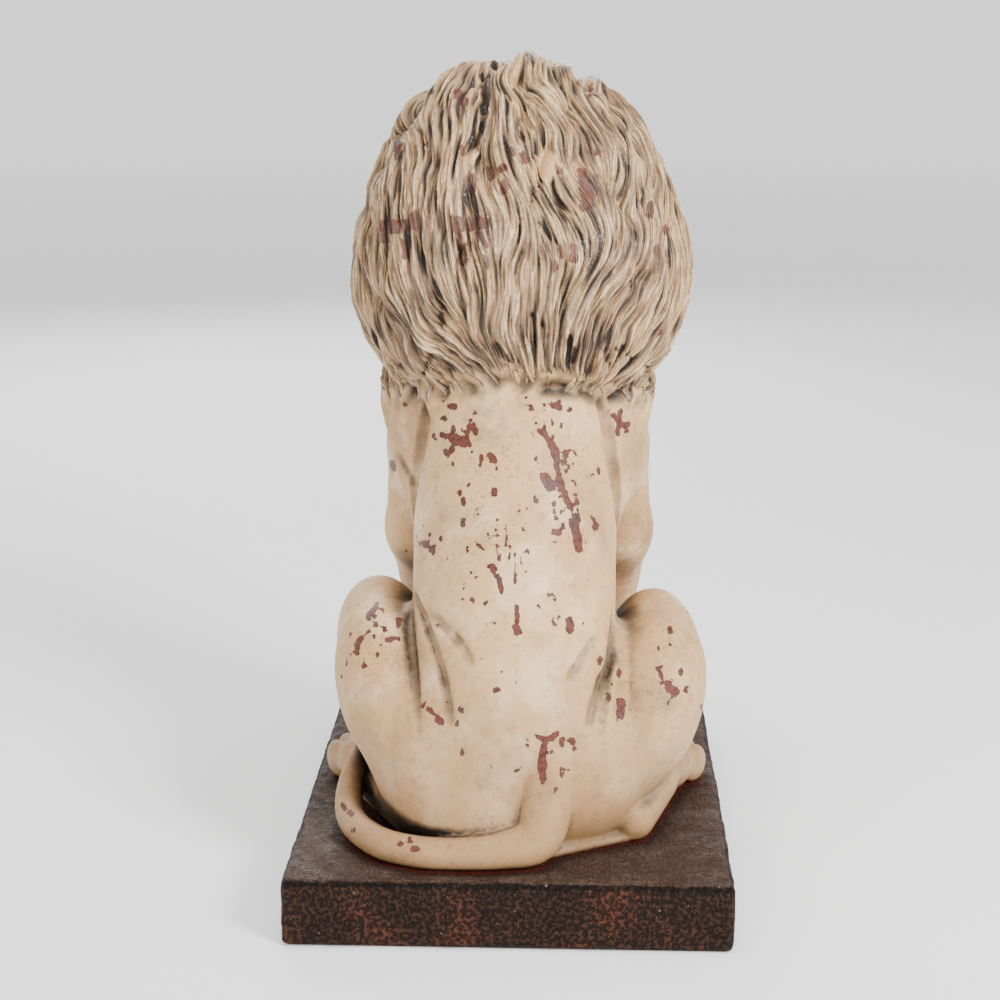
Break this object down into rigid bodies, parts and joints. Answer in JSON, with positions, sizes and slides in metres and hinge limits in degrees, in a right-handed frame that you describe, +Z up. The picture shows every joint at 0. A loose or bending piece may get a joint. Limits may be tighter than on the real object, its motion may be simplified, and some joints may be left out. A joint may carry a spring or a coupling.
{
  "type": "lion statue",
  "caption": "Seated lion statue with a full wavy mane and curled tail, looking ahead, on a low rectangular plinth; weathered cream paint over dark red-brown.",
  "frame": {"origin": "centre of the plinth's underside", "axes": "+Z up, the lion faces -Y, and its left side is towards +X"},
  "size_m": [0.254, 0.37, 0.4862],
  "materials": {
    "lion": "cream paint over a red-brown ground, washed grey-brown in the folds and chipped",
    "plinth": "dark brown with rust tints, rough and pitted"
  },
  "bodies": {
    "root": {"lion": "lion", "plinth": "plinth"}
  },
  "joints": []
}
